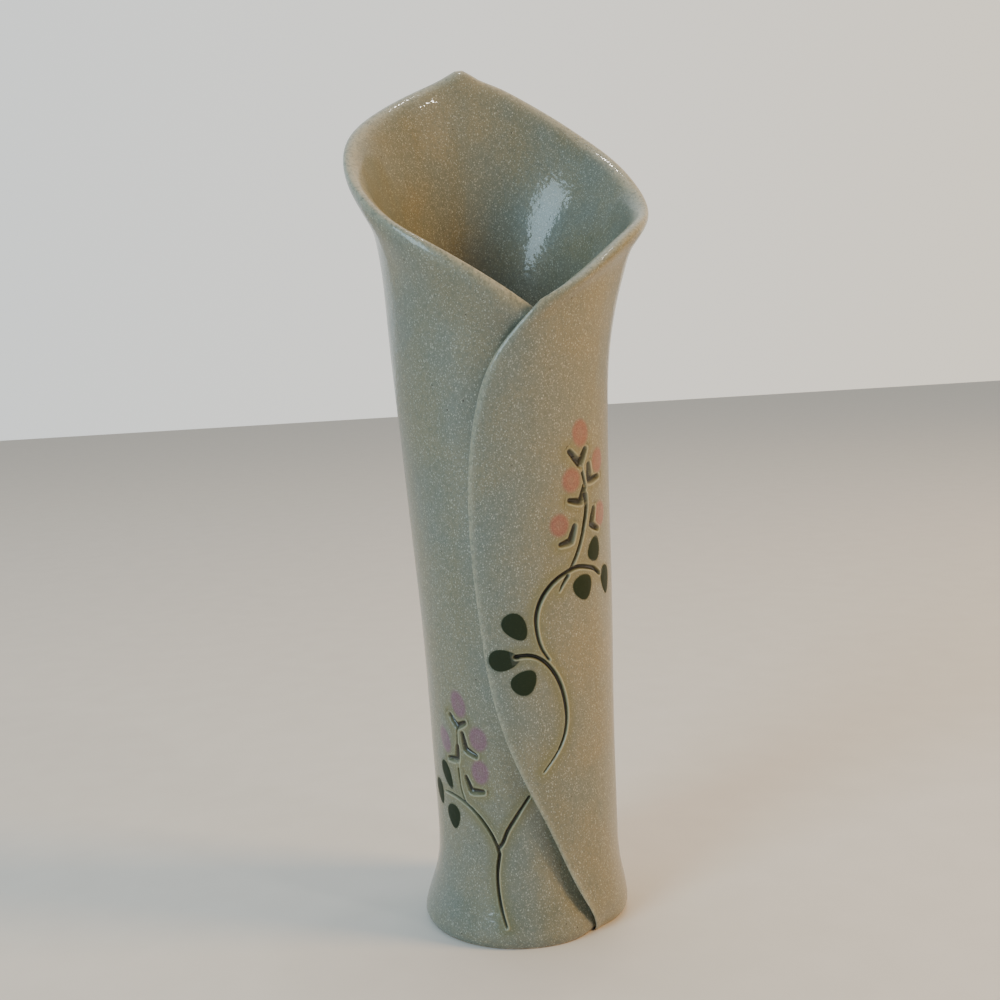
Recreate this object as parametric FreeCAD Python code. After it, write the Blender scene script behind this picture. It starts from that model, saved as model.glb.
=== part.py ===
"""Slab-built ceramic bud vase.

One slab of clay is rolled into a tube. Its outer end laps over the front like a calla lily, and the
mouth is cut on a slant, low where the two ends cross and high at the back. A clay floor closes the
foot. Two sprays of flowers are set in the outside: petals and leaves are flush inlays, and stems and
calyx marks are carved grooves that hold dark glaze.

Millimetres and degrees. +Z is up and the origin is the centre of the foot on the table. Angles run
around the vase from the front, where the two ends cross at the rim (-Y), towards +X.
"""

import FreeCAD, Part
import math
import os

# Driving dimensions
SLAB = 4.2                 # thickness of the rolled slab
FRONT_HEIGHT = 184.5       # rim height where the two ends cross
BACK_HEIGHT = 260.8        # rim height at the peak, at the back
FOOT_RADIUS = 30.9         # outside radius of the foot
WAIST_RADIUS = 27.2        # outside radius just above the skirt of the foot
WAIST_HEIGHT = 30.0        # where the waist radius is measured
WIDENING = 0.030           # growth of the radius per mm of height above the waist
SKIRT_REACH = 13.0         # height over which the foot flares out
FOOT_ROUND = 3.0           # height of the rounding under the foot
FOOT_ROUND_DEPTH = 1.2     # how far the rounding pulls the bottom edge in
TUCK = 2.2                 # how far the foot is tucked in under the lower corner of the lap
TUCK_ANGLE = 34.0          # where that corner is
TUCK_SPREAD = 16.0         # how far around the tuck reaches
TUCK_REACH = 6.0           # how far up the tuck reaches
LIP_FLARE = 12.0           # how far the lip turns out at the two side lobes
LIP_FLARE_ENDS = 0.40      # share of that flare left at the crossing and at the peak
FLARE_REACH = 70.0         # depth below the rim where the flare starts
FLARE_POWER = 3.8          # how suddenly the lip turns out

FLOOR = 5.0                # thickness of the clay floor
COIL = 3.5                 # size of the soft coil in the corner of floor and wall
COIL_EDGE = 0.4            # thickness left at the two feather edges of the coil

INLAY_DEPTH = 1.0          # depth of petals and leaves
GROOVE_DEPTH = 1.2         # depth of stems and calyx marks
GLAZE_SINK = 0.35          # the glaze in a groove lies this far below the surface
CALYX_WIDTH = 1.8          # width of a calyx mark

# The rim between crossing and peak: (angle, share of the rise from front to back)
RIM = [(0, 0.0), (20, 0.095), (45, 0.235), (60, 0.30), (75, 0.36), (90, 0.45), (105, 0.565),
       (120, 0.675), (135, 0.78), (150, 0.87), (163, 0.932), (173, 0.97), (180, 1.0), (187, 0.975),
       (197, 0.932), (210, 0.88), (225, 0.81), (240, 0.73), (255, 0.635), (270, 0.525), (285, 0.42),
       (300, 0.32), (315, 0.24), (340, 0.11), (360, 0.0)]

# Edge of the lap on the outside: (share of the front height, angle)
LAP_EDGE = [(0.0, 31.0), (0.10, 11.5), (0.20, -4.5), (0.30, -20.6), (0.41, -31.8), (0.52, -35.8),
            (0.63, -37.3), (0.75, -34.9), (0.85, -28.0), (0.93, -16.5), (1.0, 1.5), (1.07, 17.0),
            (1.2, 30.0), (1.6, 36.0)]

# Inner end of the slab, hidden under the lap: (share of the front height, angle)
INNER_EDGE = [(0.0, 62.0), (0.30, 52.0), (0.55, 46.0), (0.75, 39.0), (0.90, 26.0), (1.0, 3.0),
              (1.07, -12.0), (1.2, -24.0), (1.6, -30.0)]

# Height of the step at the lap edge: (share of the front height, mm)
LAP_STEP = [(0.0, 1.2), (0.03, 1.7), (0.15, 2.0), (0.30, 1.2), (0.50, 0.8), (0.68, 1.0), (0.85, 2.2),
            (0.97, 2.8), (1.1, 1.6), (1.3, 0.6), (1.6, 0.3)]
LAP_FADE = 140.0           # angle over which the lap sinks back into the tube

# Sideways lean of the hand-rolled tube: (share of the front height, mm), towards LEAN_ANGLE
LEAN = [(0.0, 0.0), (0.08, 1.3), (0.22, 2.0), (0.43, 1.85), (0.65, 1.0), (0.82, 0.25), (1.0, -0.25),
        (1.2, 1.5), (1.4, 1.55), (1.6, 2.0)]
LEAN_ANGLE = 75.0

COLUMNS = 40               # points around a surface
TOP_MARGIN = 13.0          # height of the raw tube above the peak, cut off by the rim
ROWS = [0, 1.5, 3, 6, 10, 14, 18, 23, 30, 40, 52, 65, 80, 95, 110, 125, 140, 152, 163, 173, 182, 191,
        200, 209, 218, 227, 236, 245, 254, 264, 274.5]

# The sprays. Each has an anchor: an angle and a share of the front height. Its marks are given from
# that anchor, in degrees around and mm up.
UPPER_ANCHOR = (0.0, 0.5366)
LOWER_ANCHOR = (-50.0, 0.271)

# Petals: name, angle, height, half width, half height, turn of the long axis from upright
UPPER_PETALS = [("1", 27.0, 49.4, 3.1, 4.2, 4), ("2", 41.6, 41.0, 2.9, 3.9, -4),
                ("3", 20.2, 36.4, 3.3, 3.8, -12), ("4", 44.2, 25.4, 3.0, 4.0, -6),
                ("5", 11.6, 24.0, 3.1, 3.5, -10)]
LOWER_PETALS = [("1", -6.0, 21.4, 2.9, 4.4, 18), ("2", -20.9, 9.4, 2.7, 4.3, 22),
                ("3", 6.7, 11.6, 3.2, 3.9, 12), ("4", 6.6, 1.7, 3.2, 3.9, 6)]

# Leaves: name, angle, height, length, width, direction of the tip from level
UPPER_LEAVES = [("1", 37.2, 15.7, 7.6, 5.8, 72), ("2", 49.5, 5.6, 8.8, 5.6, -82),
                ("3", 26.2, 5.2, 7.6, 7.4, -75), ("4", -16.2, -3.9, 8.6, 6.4, -58),
                ("5", -23.6, -13.3, 8.8, 6.2, 4), ("6", -13.0, -19.8, 8.2, 6.6, 48)]
LOWER_LEAVES = [("1", -21.8, -1.6, 9.2, 4.4, -60), ("2", -33.6, -8.2, 8.0, 5.0, -70),
                ("3", -17.8, -14.0, 7.6, 6.6, -84)]
LEAF_TAPER = 0.28          # how much narrower a leaf gets towards its tip
OVAL_POINTS = 12           # points around a petal or a leaf

# Calyx marks: name and the three points of each V
UPPER_CALYXES = [("1", [(19.4, 44.4), (26.0, 40.6), (30.3, 44.7)]),
                 ("2", [(33.0, 40.2), (33.6, 35.6), (41.4, 36.4)]),
                 ("3", [(29.4, 34.3), (26.2, 29.9), (18.6, 30.6)]),
                 ("4", [(37.2, 27.4), (34.6, 22.8), (41.0, 21.2)]),
                 ("5", [(21.2, 23.2), (18.2, 19.1), (12.0, 18.4)])]
LOWER_CALYXES = [("1", [(-13.4, 17.6), (-8.4, 14.6), (-2.2, 16.0)]),
                 ("2", [(-4.6, 12.6), (-2.6, 8.0), (4.6, 6.4)]),
                 ("3", [(-9.2, 8.4), (-10.2, 4.4), (-17.8, 4.0)]),
                 ("4", [(-3.8, -0.6), (-0.2, -4.4), (8.0, -4.2)])]

# Stems: name, full width, tip width and the points of the centre line, thick end first
UPPER_STEMS = [("main", 1.35, 0.7, [(41.4, 8.1), (37.0, 9.7), (30.5, 10.8), (21.6, 11.4),
                                   (15.6, 10.6), (9.4, 9.2), (3.0, 6.6), (-2.4, 2.6), (-4.9, -1.8),
                                   (-4.7, -6.4), (-2.3, -10.9), (1.0, -13.8)]),
               ("tip", 1.0, 0.8, [(26.4, 40.2), (28.2, 37.6), (29.6, 35.0)]),
               ("flower", 1.25, 0.8, [(30.0, 31.8), (30.4, 28.6), (28.4, 23.5), (25.2, 18.6),
                                     (21.2, 14.4), (17.2, 11.2)]),
               ("spur", 0.9, 0.35, [(15.4, 9.4), (12.6, 7.7), (9.6, 5.3)]),
               ("tail", 1.3, 0.35, [(-17.0, -12.4), (-10.6, -12.2), (-5.2, -13.0), (0.0, -15.2),
                                   (4.6, -18.6), (8.0, -23.0), (9.9, -28.2), (9.8, -32.6),
                                   (7.4, -37.6), (2.2, -42.2), (-4.9, -46.6)])]
LOWER_STEMS = [("trunk", 1.15, 0.6, [(16.7, -23.0), (15.6, -26.6), (15.5, -30.4), (16.8, -34.6),
                                    (19.4, -38.8), (23.3, -43.4)]),
               ("left", 1.1, 0.6, [(16.9, -22.6), (14.2, -18.8), (9.4, -14.8), (2.8, -11.2),
                                  (-5.0, -8.6), (-14.5, -7.2), (-25.1, -7.0)]),
               ("tip", 0.8, 0.7, [(-8.4, 14.6), (-9.0, 11.5), (-9.1, 8.2)]),
               ("flower", 0.9, 0.6, [(-10.0, 4.0), (-9.6, -0.6), (-8.0, -5.2), (-4.9, -8.6)]),
               ("right", 1.1, 0.9, [(16.8, -20.6), (18.9, -19.2), (21.6, -16.2), (26.0, -12.6),
                                   (31.2, -8.8), (36.4, -5.6)])]

Vector = FreeCAD.Vector
UP = Vector(0, 0, 1)


def smooth(stations):
    """A smooth function through a few (position, value) stations."""
    curve = Part.BSplineCurve()
    points = [Vector(position, value, 0) for position, value in stations]
    curve.interpolate(Points=points, Parameters=[position for position, value in stations])
    return lambda position: curve.value(position).y


rim_share = smooth(RIM)
lap_edge_share = smooth(LAP_EDGE)
inner_edge_share = smooth(INNER_EDGE)
lap_step_share = smooth(LAP_STEP)
lean_share = smooth(LEAN)


def rim_height(angle):
    return FRONT_HEIGHT + (BACK_HEIGHT - FRONT_HEIGHT) * rim_share(angle % 360)


def along(height):
    """A height as a share of the front height, kept inside the stations."""
    return min(max(height / FRONT_HEIGHT, 0.0), 1.6)


def lap_edge(height):
    return lap_edge_share(along(height))


def inner_edge(height):
    return inner_edge_share(along(height))


def tube_radius(angle, height):
    """Outside radius of the rolled tube, without the lap."""
    radius = WAIST_RADIUS + WIDENING * (height - WAIST_HEIGHT)
    skirt = FOOT_RADIUS - (WAIST_RADIUS - WIDENING * WAIST_HEIGHT)
    radius += skirt * math.exp(-(height / SKIRT_REACH) ** 2)
    if height < FOOT_ROUND:
        radius -= FOOT_ROUND_DEPTH * (1 - height / FOOT_ROUND) ** 2
    aside = (angle - TUCK_ANGLE + 180) % 360 - 180
    radius -= TUCK * math.exp(-(aside / TUCK_SPREAD) ** 2 - (height / TUCK_REACH) ** 2)
    lobes = LIP_FLARE_ENDS + (1 - LIP_FLARE_ENDS) * math.sin(math.radians(angle)) ** 2
    depth = rim_height(angle) - height
    if depth < 0:
        turn = 1 - FLARE_POWER * depth / FLARE_REACH
    else:
        turn = max(1 - depth / FLARE_REACH, 0) ** FLARE_POWER
    return radius + LIP_FLARE * lobes * turn


def lap_radius(height, turned):
    """What the lap adds to the radius, at an angle turned from its edge."""
    if turned >= LAP_FADE:
        return 0.0
    return lap_step_share(along(height)) * math.cos(math.radians(90 * turned / LAP_FADE)) ** 2


def outer_radius(angle, height):
    turned = (angle - lap_edge(height)) % 360
    return tube_radius(angle, height) + lap_radius(height, turned)


def wall_point(radius, angle, height):
    turn = math.radians(angle)
    lean = lean_share(along(height))
    side = math.radians(LEAN_ANGLE)
    return Vector(radius * math.sin(turn) + lean * math.sin(side),
                  -radius * math.cos(turn) - lean * math.cos(side), height)


def rolled_body(edge, inset, bottom):
    """The full roll: a spiral skin inset from the outside, the step at its edge and two flat caps."""
    grid = []
    tallest = BACK_HEIGHT + TOP_MARGIN
    for row in ROWS:
        height = bottom + (tallest - bottom) * row / ROWS[-1]
        first = edge(height)
        line = []
        for column in range(COLUMNS + 1):
            angle = first + 360 * column / COLUMNS
            radius = tube_radius(angle, height) + lap_radius(height, angle - lap_edge(height))
            line.append(wall_point(radius - inset, angle, height))
        grid.append(line)
    surface = Part.BSplineSurface()
    surface.interpolate(grid)
    skin = surface.toShape()
    first_u, last_u, first_v, last_v = surface.bounds()
    low = surface.uIso(first_u).toShape()
    high = surface.uIso(last_u).toShape()
    start = surface.vIso(first_v).toShape()
    end = surface.vIso(last_v).toShape()
    faces = [skin, Part.makeRuledSurface(start, end)]
    for ring, row in ((low, grid[0]), (high, grid[-1])):
        step = Part.makeLine(row[-1], row[0])
        faces.append(Part.Face(Part.Wire([ring, step])))
    shell = Part.makeShell(faces)
    shell.sewShape()
    body = Part.makeSolid(Part.Shell(shell.Faces))
    if body.Volume < 0:
        body.reverse()
    return body


def rim_cutter():
    """All that lies above the rim: its underside runs level from inside to outside at each angle."""
    rings = []
    for radius in (SLAB, 3 * FOOT_RADIUS):
        points = []
        for column in range(COLUMNS * 2 + 1):
            angle = 180 * column / COLUMNS
            turn = math.radians(angle)
            points.append(Vector(radius * math.sin(turn), -radius * math.cos(turn), rim_height(angle)))
        curve = Part.BSplineCurve()
        curve.interpolate(Points=points)
        rings.append(curve.toShape())
    ceiling = BACK_HEIGHT + 2 * TOP_MARGIN
    underside = Part.makeRuledSurface(rings[0], rings[1])
    slab = underside.extrude(UP * (ceiling - FRONT_HEIGHT))
    return slab


def spot(anchor, angle, height):
    """The angle and height on the wall of a mark given from its spray's anchor."""
    return anchor[0] + angle, anchor[1] * FRONT_HEIGHT + height


class Cutter:
    """A straight tool pushed into the wall square to the surface at one angle."""

    REACH = 6.0

    def __init__(self, angle, height):
        self.angle = angle
        turn = math.radians(angle)
        self.out = Vector(math.sin(turn), -math.cos(turn), 0)
        self.side = Vector(math.cos(turn), math.sin(turn), 0)
        self.seat = wall_point(outer_radius(angle, height), angle, height) + self.out * self.REACH

    def onto(self, angle, height):
        """The point of the tool's face that lands on the wall at this angle and height."""
        point = wall_point(outer_radius(angle, height), angle, height)
        return point + self.out * (self.seat - point).dot(self.out)

    def push(self, wire):
        return Part.Face(wire).extrude(self.out * (-2 * self.REACH))


def petal_tool(anchor, angle, height, half_width, half_height, turn):
    angle, height = spot(anchor, angle, height)
    cutter = Cutter(angle, height)
    lean = math.radians(turn)
    tall = UP * math.cos(lean) - cutter.side * math.sin(lean)
    wide = cutter.side * math.cos(lean) + UP * math.sin(lean)
    return cutter.push(round_outline(cutter.onto(angle, height), wide * half_width, tall * half_height, 0.0))


def round_outline(centre, along_half, across_half, taper):
    """An oval, narrower by the taper at the end that the first axis points to."""
    points = []
    for step in range(OVAL_POINTS):
        turn = 2 * math.pi * step / OVAL_POINTS
        across = math.sin(turn) * (1 - taper * math.cos(turn))
        points.append(centre + along_half * math.cos(turn) + across_half * across)
    curve = Part.BSplineCurve()
    curve.interpolate(Points=points, PeriodicFlag=True)
    return Part.Wire([curve.toShape()])


def leaf_tool(anchor, angle, height, length, width, tip):
    angle, height = spot(anchor, angle, height)
    cutter = Cutter(angle, height)
    turn = math.radians(tip)
    along_half = (cutter.side * math.cos(turn) + UP * math.sin(turn)) * (length / 2)
    across_half = (UP * math.cos(turn) - cutter.side * math.sin(turn)) * (width / 2)
    return cutter.push(round_outline(cutter.onto(angle, height), along_half, across_half, LEAF_TAPER))


def slot_tool(cutter, start, end, width):
    """A straight slot with round ends between two points of the tool's face."""
    way = (end - start).normalize()
    side = way.cross(cutter.out).normalize() * (width / 2)
    over = way * (width / 2)
    edges = [Part.makeLine(start + side, end + side),
             Part.Arc(end + side, end + over, end - side).toShape(),
             Part.makeLine(end - side, start - side),
             Part.Arc(start - side, start - over, start + side).toShape()]
    return cutter.push(Part.Wire(edges))


def calyx_tool(anchor, points):
    places = [spot(anchor, angle, height) for angle, height in points]
    cutter = Cutter(*places[1])
    corners = [cutter.onto(angle, height) for angle, height in places]
    first = slot_tool(cutter, corners[0], corners[1], CALYX_WIDTH)
    second = slot_tool(cutter, corners[1], corners[2], CALYX_WIDTH)
    return first.fuse(second).removeSplitter()


def stem_tool(anchor, width, tip_width, points):
    """A curved ribbon that tapers from its thick end to its tip."""
    places = [spot(anchor, angle, height) for angle, height in points]
    middle = places[len(places) // 2]
    cutter = Cutter((places[0][0] + places[-1][0]) / 2, middle[1])
    line = Part.BSplineCurve()
    line.interpolate(Points=[cutter.onto(angle, height) for angle, height in places])
    left = []
    right = []
    steps = 2 * len(points)
    for step in range(steps + 1):
        share = step / steps
        parameter = line.parameterAtDistance(line.length() * share)
        point = line.value(parameter)
        side = Vector(*line.tangent(parameter)[0]).cross(cutter.out).normalize()
        half = (width + (tip_width - width) * share ** 2) / 2
        left.append(point + side * half)
        right.append(point - side * half)
    edges = [curve_through(left), Part.makeLine(left[-1], right[-1]), curve_through(right[::-1]),
             Part.makeLine(right[0], left[0])]
    return cutter.push(Part.Wire(edges))


def curve_through(points):
    curve = Part.BSplineCurve()
    curve.interpolate(Points=points)
    return curve.toShape()


def spray_tools(spray, anchor, calyxes, stems, petals, leaves):
    """Every mark of one spray as (node, depth, sink, tool), the carved marks first."""
    marks = []
    for name, points in calyxes:
        marks.append((f"{spray}_calyx_{name}", GROOVE_DEPTH, GLAZE_SINK, calyx_tool(anchor, points)))
    for name, width, tip_width, points in stems:
        tool = stem_tool(anchor, width, tip_width, points)
        marks.append((f"{spray}_stem_{name}", GROOVE_DEPTH, GLAZE_SINK, tool))
    for name, *shape in petals:
        marks.append((f"{spray}_petal_{name}", INLAY_DEPTH, 0.0, petal_tool(anchor, *shape)))
    for name, *shape in leaves:
        marks.append((f"{spray}_leaf_{name}", INLAY_DEPTH, 0.0, leaf_tool(anchor, *shape)))
    return marks


def set_in(marks):
    """Cut each mark's pocket clear of the pockets before it, and fill it: (pockets, nodes)."""
    bodies = {}
    for inset in (0.0, GLAZE_SINK, INLAY_DEPTH, GROOVE_DEPTH):
        bodies[inset] = rolled_body(lap_edge, inset, 0.0)
    pockets = []
    nodes = {}
    for node, depth, sink, tool in marks:
        pocket = tool.cut(bodies[depth])
        for earlier in pockets:
            if earlier.BoundBox.intersect(pocket.BoundBox):
                pocket = pocket.cut(earlier)
        pockets.append(pocket)
        nodes[node] = pocket.common(bodies[sink])
    return pockets, nodes


def level_slice(bottom, top):
    """A wide flat disc, for taking a slice of the cavity."""
    return Part.makeCylinder(2 * FOOT_RADIUS, top - bottom, UP * bottom)


def thumb(bottom):
    """The round hollow that a thumb presses into the corner coil, as a turned solid on the lean."""
    top = bottom + COIL
    reach = outer_radius(180, top) - SLAB
    inner = reach - COIL
    bend = COIL - COIL_EDGE
    slant = bend * (1 - math.sqrt(0.5))
    low = Vector(inner, 0, bottom + COIL_EDGE)
    middle = Vector(inner + bend * math.sqrt(0.5), 0, bottom + COIL_EDGE + slant)
    high = Vector(reach - COIL_EDGE, 0, top)
    edges = [Part.makeLine(Vector(0, 0, bottom - 1), Vector(inner, 0, bottom - 1)),
             Part.makeLine(Vector(inner, 0, bottom - 1), low), Part.Arc(low, middle, high).toShape(),
             Part.makeLine(high, high + UP), Part.makeLine(high + UP, Vector(0, 0, top + 1)),
             Part.makeLine(Vector(0, 0, top + 1), Vector(0, 0, bottom - 1))]
    turned = Part.Face(Part.Wire(edges)).revolve(Vector(0, 0, 0), UP, 360)
    turned.translate(wall_point(0, 0, top) - UP * top)
    return turned


def build():
    cavity = rolled_body(inner_edge, SLAB, -2.0)
    marks = spray_tools("upper", UPPER_ANCHOR, UPPER_CALYXES, UPPER_STEMS, UPPER_PETALS, UPPER_LEAVES)
    marks += spray_tools("lower", LOWER_ANCHOR, LOWER_CALYXES, LOWER_STEMS, LOWER_PETALS, LOWER_LEAVES)
    pockets, nodes = set_in(marks)
    tube = rolled_body(lap_edge, 0.0, 0.0).cut(cavity).cut(rim_cutter())
    nodes["wall_slab"] = tube.cut(pockets)
    nodes["floor_disc"] = cavity.common(level_slice(0, FLOOR))
    coil = cavity.common(level_slice(FLOOR, FLOOR + COIL))
    nodes["floor_seam_coil"] = coil.cut(thumb(FLOOR))
    return nodes


def main():
    os.makedirs("parts", exist_ok=True)
    for node, shape in build().items():
        if len(shape.Solids) == 1:
            shape = shape.Solids[0]
        shape.exportStep(f"parts/{node}.step")
        print(f"{node}: {len(shape.Solids)} solid, {shape.Volume:.1f} mm3, valid {shape.isValid()}")


main()
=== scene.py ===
"""Slab-built ceramic bud vase: the looks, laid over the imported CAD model.

One rolled sheet of clay with rounded lips stands for the CAD wall, and each carved or inlaid mark has a
fine patch of its own. Lengths are millimetres until a mesh is made, angles are degrees around the vase
from the front (-Y) towards +X.
"""

import math
import bpy
import numpy as np
from mathutils import Matrix, Vector


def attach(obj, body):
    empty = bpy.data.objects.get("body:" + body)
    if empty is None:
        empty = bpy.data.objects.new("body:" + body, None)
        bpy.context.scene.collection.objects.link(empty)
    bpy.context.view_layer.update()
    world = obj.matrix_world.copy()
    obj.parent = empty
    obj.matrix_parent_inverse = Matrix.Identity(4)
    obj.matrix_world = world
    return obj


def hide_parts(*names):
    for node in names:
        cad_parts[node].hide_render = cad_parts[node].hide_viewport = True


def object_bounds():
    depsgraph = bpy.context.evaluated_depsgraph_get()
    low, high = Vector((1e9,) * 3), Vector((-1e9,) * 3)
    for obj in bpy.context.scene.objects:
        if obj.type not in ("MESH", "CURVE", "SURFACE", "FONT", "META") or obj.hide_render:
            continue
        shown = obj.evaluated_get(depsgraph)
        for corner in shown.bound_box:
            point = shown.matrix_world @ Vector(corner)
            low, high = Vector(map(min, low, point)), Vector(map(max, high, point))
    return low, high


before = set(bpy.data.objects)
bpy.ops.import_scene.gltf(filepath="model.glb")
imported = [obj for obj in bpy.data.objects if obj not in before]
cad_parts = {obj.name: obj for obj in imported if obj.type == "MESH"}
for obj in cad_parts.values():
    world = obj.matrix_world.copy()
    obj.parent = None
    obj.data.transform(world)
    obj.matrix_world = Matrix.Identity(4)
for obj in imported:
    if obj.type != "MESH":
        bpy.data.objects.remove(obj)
CAD_LOW, CAD_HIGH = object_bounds()
MM = 0.001

# Sizes of the pot
SLAB = 4.2                 # thickness of the rolled slab
FRONT_HEIGHT = 184.5       # rim height where the two ends cross
BACK_HEIGHT = CAD_HIGH.z / MM
FOOT_RADIUS = 30.9
WAIST_RADIUS = 27.2
WAIST_HEIGHT = 30.0
WIDENING = 0.030
SKIRT_REACH = 13.0
FOOT_ROUND = 3.0
FOOT_ROUND_DEPTH = 1.2
TUCK = 2.2                 # how far the foot is tucked in under the lower corner of the lap
TUCK_ANGLE = 34.0
TUCK_SPREAD = 16.0
TUCK_REACH = 6.0
LIP_FLARE = 12.0
LIP_FLARE_ENDS = 0.40
FLARE_REACH = 70.0
FLARE_POWER = 3.8

# The rim between crossing and peak: (angle, share of the rise from front to back)
RIM = [(0, 0.0), (20, 0.095), (45, 0.235), (60, 0.30), (75, 0.36), (90, 0.45), (105, 0.565),
       (120, 0.675), (135, 0.78), (150, 0.87), (163, 0.932), (173, 0.97), (180, 1.0), (187, 0.975),
       (197, 0.932), (210, 0.88), (225, 0.81), (240, 0.73), (255, 0.635), (270, 0.525), (285, 0.42),
       (300, 0.32), (315, 0.24), (340, 0.11), (360, 0.0)]

# Edge of the lap on the outside: (share of the front height, angle)
LAP_EDGE = [(0.0, 31.0), (0.10, 11.5), (0.20, -4.5), (0.30, -20.6), (0.41, -31.8), (0.52, -35.8),
            (0.63, -37.3), (0.75, -34.9), (0.85, -28.0), (0.93, -16.5), (1.0, 1.5), (1.07, 17.0),
            (1.2, 30.0), (1.6, 36.0)]

# Inner end of the slab, hidden under the lap: (share of the front height, angle)
INNER_EDGE = [(0.0, 62.0), (0.30, 52.0), (0.55, 46.0), (0.75, 39.0), (0.90, 26.0), (1.0, 3.0),
              (1.07, -12.0), (1.2, -24.0), (1.6, -30.0)]

# Height of the step at the lap edge: (share of the front height, mm)
LAP_STEP = [(0.0, 1.2), (0.03, 1.7), (0.15, 2.0), (0.30, 1.2), (0.50, 0.8), (0.68, 1.0), (0.85, 2.2),
            (0.97, 2.8), (1.1, 1.6), (1.3, 0.6), (1.6, 0.3)]
LAP_FADE = 140.0           # angle over which the lap sinks back into the tube

# Sideways lean of the hand-rolled tube: (share of the front height, mm), towards LEAN_ANGLE
LEAN = [(0.0, 0.0), (0.08, 1.3), (0.22, 2.0), (0.43, 1.85), (0.65, 1.0), (0.82, 0.25), (1.0, -0.25),
        (1.2, 1.5), (1.4, 1.55), (1.6, 2.0)]
LEAN_ANGLE = 75.0

# The sprays. Each has an anchor: an angle and a share of the front height. Its marks are given from
# that anchor, in degrees around and mm up.
UPPER_ANCHOR = (0.0, 0.5366)
LOWER_ANCHOR = (-50.0, 0.271)

# Petals: name, angle, height, half width, half height, turn of the long axis from upright
UPPER_PETALS = [("1", 27.0, 49.4, 3.1, 4.2, 4), ("2", 41.6, 41.0, 2.9, 3.9, -4),
                ("3", 20.2, 36.4, 3.3, 3.8, -12), ("4", 44.2, 25.4, 3.0, 4.0, -6),
                ("5", 11.6, 24.0, 3.1, 3.5, -10)]
LOWER_PETALS = [("1", -6.0, 21.4, 2.9, 4.4, 18), ("2", -20.9, 9.4, 2.7, 4.3, 22),
                ("3", 6.7, 11.6, 3.2, 3.9, 12), ("4", 6.6, 1.7, 3.2, 3.9, 6)]

# Leaves: name, angle, height, length, width, direction of the tip from level
UPPER_LEAVES = [("1", 37.2, 15.7, 7.6, 5.8, 72), ("2", 49.5, 5.6, 8.8, 5.6, -82),
                ("3", 26.2, 5.2, 7.6, 7.4, -75), ("4", -16.2, -3.9, 8.6, 6.4, -58),
                ("5", -23.6, -13.3, 8.8, 6.2, 4), ("6", -13.0, -19.8, 8.2, 6.6, 48)]
LOWER_LEAVES = [("1", -21.8, -1.6, 9.2, 4.4, -60), ("2", -33.6, -8.2, 8.0, 5.0, -70),
                ("3", -17.8, -14.0, 7.6, 6.6, -84)]
LEAF_TAPER = 0.28          # how much narrower a leaf gets towards its tip

# Calyx marks: name and the three points of each V
UPPER_CALYXES = [("1", [(19.4, 44.4), (26.0, 40.6), (30.3, 44.7)]),
                 ("2", [(33.0, 40.2), (33.6, 35.6), (41.4, 36.4)]),
                 ("3", [(29.4, 34.3), (26.2, 29.9), (18.6, 30.6)]),
                 ("4", [(37.2, 27.4), (34.6, 22.8), (41.0, 21.2)]),
                 ("5", [(21.2, 23.2), (18.2, 19.1), (12.0, 18.4)])]
LOWER_CALYXES = [("1", [(-13.4, 17.6), (-8.4, 14.6), (-2.2, 16.0)]),
                 ("2", [(-4.6, 12.6), (-2.6, 8.0), (4.6, 6.4)]),
                 ("3", [(-9.2, 8.4), (-10.2, 4.4), (-17.8, 4.0)]),
                 ("4", [(-3.8, -0.6), (-0.2, -4.4), (8.0, -4.2)])]

# Stems: name, full width, tip width and the points of the centre line, thick end first
UPPER_STEMS = [("main", 1.35, 0.7, [(41.4, 8.1), (37.0, 9.7), (30.5, 10.8), (21.6, 11.4),
                                   (15.6, 10.6), (9.4, 9.2), (3.0, 6.6), (-2.4, 2.6), (-4.9, -1.8),
                                   (-4.7, -6.4), (-2.3, -10.9), (1.0, -13.8)]),
               ("tip", 1.0, 0.8, [(26.4, 40.2), (28.2, 37.6), (29.6, 35.0)]),
               ("flower", 1.25, 0.8, [(30.0, 31.8), (30.4, 28.6), (28.4, 23.5), (25.2, 18.6),
                                     (21.2, 14.4), (17.2, 11.2)]),
               ("spur", 0.9, 0.35, [(15.4, 9.4), (12.6, 7.7), (9.6, 5.3)]),
               ("tail", 1.3, 0.35, [(-17.0, -12.4), (-10.6, -12.2), (-5.2, -13.0), (0.0, -15.2),
                                   (4.6, -18.6), (8.0, -23.0), (9.9, -28.2), (9.8, -32.6),
                                   (7.4, -37.6), (2.2, -42.2), (-4.9, -46.6)])]
LOWER_STEMS = [("trunk", 1.15, 0.6, [(16.7, -23.0), (15.6, -26.6), (15.5, -30.4), (16.8, -34.6),
                                    (19.4, -38.8), (23.3, -43.4)]),
               ("left", 1.1, 0.6, [(16.9, -22.6), (14.2, -18.8), (9.4, -14.8), (2.8, -11.2),
                                  (-5.0, -8.6), (-14.5, -7.2), (-25.1, -7.0)]),
               ("tip", 0.8, 0.7, [(-8.4, 14.6), (-9.0, 11.5), (-9.1, 8.2)]),
               ("flower", 0.9, 0.6, [(-10.0, 4.0), (-9.6, -0.6), (-8.0, -5.2), (-4.9, -8.6)]),
               ("right", 1.1, 0.9, [(16.8, -20.6), (18.9, -19.2), (21.6, -16.2), (26.0, -12.6),
                                   (31.2, -8.8), (36.4, -5.6)])]


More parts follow.
